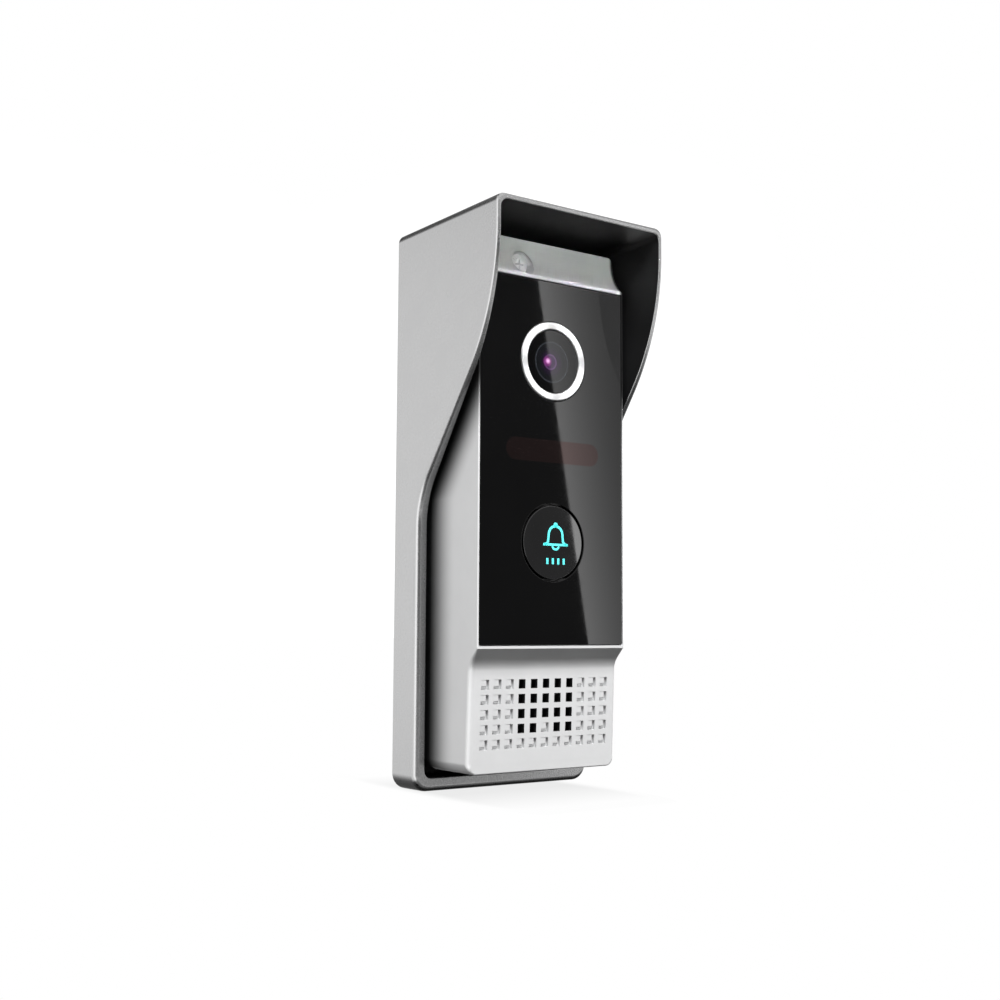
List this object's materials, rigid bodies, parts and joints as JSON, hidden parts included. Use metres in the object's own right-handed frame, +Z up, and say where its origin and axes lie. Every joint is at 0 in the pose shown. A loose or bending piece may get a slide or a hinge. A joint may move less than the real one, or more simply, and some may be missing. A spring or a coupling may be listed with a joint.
{
  "type": "door intercom panel",
  "caption": "Wired outdoor door station: camera, infra-red lamps, call button and speaker in a slim metal housing under a curved rain hood.",
  "frame": {"origin": "centre of the hood's wall face, where the panel rests on the wall", "axes": "+Z up, +Y into the wall so that the front faces -Y, +X to the right of somebody facing the panel"},
  "size_m": [0.0516, 0.0396, 0.1337],
  "materials": {
    "silver_paint": "fine satin silver paint on die cast",
    "black_acrylic": "polished",
    "chrome_trim": "bright with fine turning marks",
    "clear_glass": "coated lens glass",
    "coated_glass": "purple anti-reflection coating",
    "black_metal": "matt black",
    "black_plastic": "fine moulded texture",
    "red_filter": "infra-red pass plastic",
    "led_epoxy": "clear epoxy",
    "diffuser": "translucent, lit from behind",
    "rubber": "matt",
    "steel": "zinc plated",
    "circuit_board": "solder mask",
    "chip": "moulded epoxy",
    "white_plastic": "natural nylon",
    "paper_cone": "pressed paper",
    "mesh_cloth": "fine woven dust mesh"
  },
  "bodies": {
    "station": {"rain_hood": "silver_paint", "cable_grommet": "rubber", "mounting_bracket": "steel", "bracket_screw_1": "steel", "bracket_screw_2": "steel", "front_housing": "silver_paint", "front_panel": "black_acrylic", "rear_cover": "black_plastic", "cover_gasket": "rubber", "housing_screw_1": "steel", "housing_screw_2": "steel", "housing_screw_3": "steel", "housing_screw_4": "steel", "fixing_screw": "steel", "lens_ring": "chrome_trim", "lens_window": "clear_glass", "lens_barrel": "black_metal", "lens_front_element": "clear_glass", "lens_inner_element": "coated_glass", "lens_holder": "black_plastic", "camera_board": "circuit_board", "image_sensor": "chip", "image_processor": "chip", "camera_ribbon": "white_plastic", "holder_screw_1": "steel", "holder_screw_2": "steel", "camera_board_screw_1": "steel", "camera_board_screw_2": "steel", "ir_window": "red_filter", "ir_board": "circuit_board", "ir_board_header": "black_plastic", "ir_led_1": "led_epoxy", "ir_led_2": "led_epoxy", "ir_led_3": "led_epoxy", "ir_led_4": "led_epoxy", "ir_led_5": "led_epoxy", "ir_led_6": "led_epoxy", "light_sensor": "clear_glass", "button_seal": "rubber", "switch_body": "black_plastic", "button_led_1": "white_plastic", "button_led_2": "white_plastic", "main_board": "circuit_board", "main_board_screw_1": "steel", "main_board_screw_2": "steel", "filter_capacitor": "black_plastic", "audio_chip": "chip", "cable_header": "white_plastic", "volume_trimmer_body": "black_plastic", "speaker_frame": "steel", "speaker_cone": "paper_cone", "speaker_magnet": "black_metal", "speaker_gasket": "rubber", "dust_mesh": "mesh_cloth", "microphone_boot": "rubber", "microphone": "steel"},
    "button": {"call_button": "black_acrylic", "button_diffuser": "diffuser"},
    "plunger": {"switch_plunger": "white_plastic"},
    "volume_rotor": {"volume_trimmer_rotor": "white_plastic"}
  },
  "joints": [
    {"name": "call_button_press", "type": "slide", "parent": "station", "child": "button", "axis": [0, 1, 0], "range_m": [0, 0.0005], "stiffness_N_per_m": 1600, "springref_m": -0.0006},
    {"name": "switch_plunger_press", "type": "slide", "parent": "station", "child": "plunger", "axis": [0, 1, 0], "range_m": [0, 0.0005]},
    {"name": "volume_turn", "type": "hinge", "parent": "station", "child": "volume_rotor", "pos_m": [0.012, -0.0084, -0.008], "axis": [0, 1, 0], "range_deg": [-130, 130]}
  ],
  "couplings": [
    {"joint": "switch_plunger_press", "follows": "call_button_press", "ratio": 1}
  ]
}
